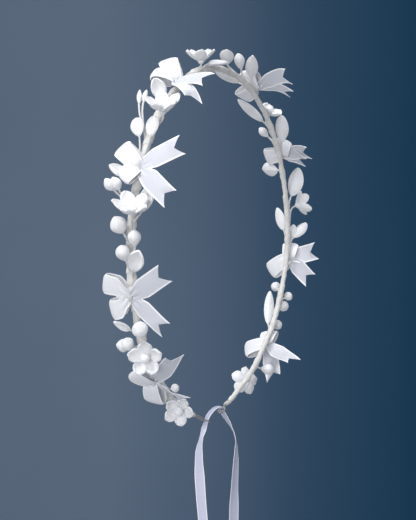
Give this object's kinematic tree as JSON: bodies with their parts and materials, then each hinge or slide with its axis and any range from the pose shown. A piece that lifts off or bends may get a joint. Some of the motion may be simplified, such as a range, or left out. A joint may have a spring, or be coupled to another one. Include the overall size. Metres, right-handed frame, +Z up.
{
  "type": "flower crown",
  "caption": "Open wire hoop wrapped in floral tape, set with white clay blossoms, buds and leaves and small ribbon bows, closed by a tie ribbon through two end eyelets.",
  "frame": {"origin": "top centre of the hoop's wire, the point the crown hangs from", "axes": "+Z up as it hangs; +Y is square to the hoop, towards the edge that is uppermost when worn; +X is towards the half on the right of the top when seen from -Y"},
  "size_m": [0.2107, 0.0425, 0.4435],
  "materials": {
    "clay": "matte air-dried modelling clay",
    "bead": "soft pearl sheen",
    "bow_ribbon": "satin ribbon",
    "tie_ribbon": "narrow satin ribbon",
    "floral_tape": "crepe floral tape, wound on",
    "bare_wire": "dull bare wire"
  },
  "bodies": {
    "left_half": {"blossom_left_1_bead": "bead", "blossom_left_1_petals": "clay", "blossom_left_2_bead": "bead", "blossom_left_2_petals": "clay", "blossom_left_3_bead": "bead", "blossom_left_3_petals": "clay", "blossom_left_4_bead": "bead", "blossom_left_4_petals": "clay", "blossom_left_5_bead": "bead", "blossom_left_5_petals": "clay", "bow_left_1": "bow_ribbon", "bow_left_2": "bow_ribbon", "bow_left_3": "bow_ribbon", "bow_left_4": "bow_ribbon", "bud_left_1": "clay", "bud_left_3": "clay", "bud_left_4": "clay", "bud_left_5": "clay", "bud_left_6": "clay", "bud_pair_left_2": "clay", "bud_pair_left_7": "clay", "core_wire_left": "bare_wire", "leaf_left_1": "clay", "leaf_left_2": "clay", "leaf_left_3": "clay", "leaf_left_4": "clay", "leaf_left_7": "clay", "leaf_pair_left_5": "clay", "tape_wrap_left": "floral_tape", "tie_ribbon_left": "tie_ribbon"},
    "right_half": {"blossom_right_1_bead": "bead", "blossom_right_1_petals": "clay", "blossom_right_2_bead": "bead", "blossom_right_2_petals": "clay", "blossom_right_3_bead": "bead", "blossom_right_3_petals": "clay", "bow_right_1": "bow_ribbon", "bow_right_2": "bow_ribbon", "bow_right_3": "bow_ribbon", "bow_right_4": "bow_ribbon", "bud_right_1": "clay", "bud_right_2": "clay", "bud_right_3": "clay", "bud_right_4": "clay", "bud_right_5": "clay", "bud_right_6": "clay", "bud_right_7": "clay", "core_wire_right": "bare_wire", "leaf_pair_right_9": "clay", "leaf_right_1": "clay", "leaf_right_10": "clay", "leaf_right_2": "clay", "leaf_right_3": "clay", "leaf_right_4": "clay", "leaf_right_5": "clay", "leaf_right_6": "clay", "leaf_right_7": "clay", "leaf_right_8": "clay", "tape_wrap_right": "floral_tape", "tie_ribbon_right": "tie_ribbon"}
  },
  "joints": [
    {"name": "hoop_flex", "type": "hinge", "parent": "left_half", "child": "right_half", "pos_m": [0, 0, 0], "axis": [0, -1, 0], "range_deg": [-3, 8], "stiffness_Nm_per_rad": 0.5, "springref_deg": 0.46, "deforming": ["tie_ribbon_left"]}
  ]
}
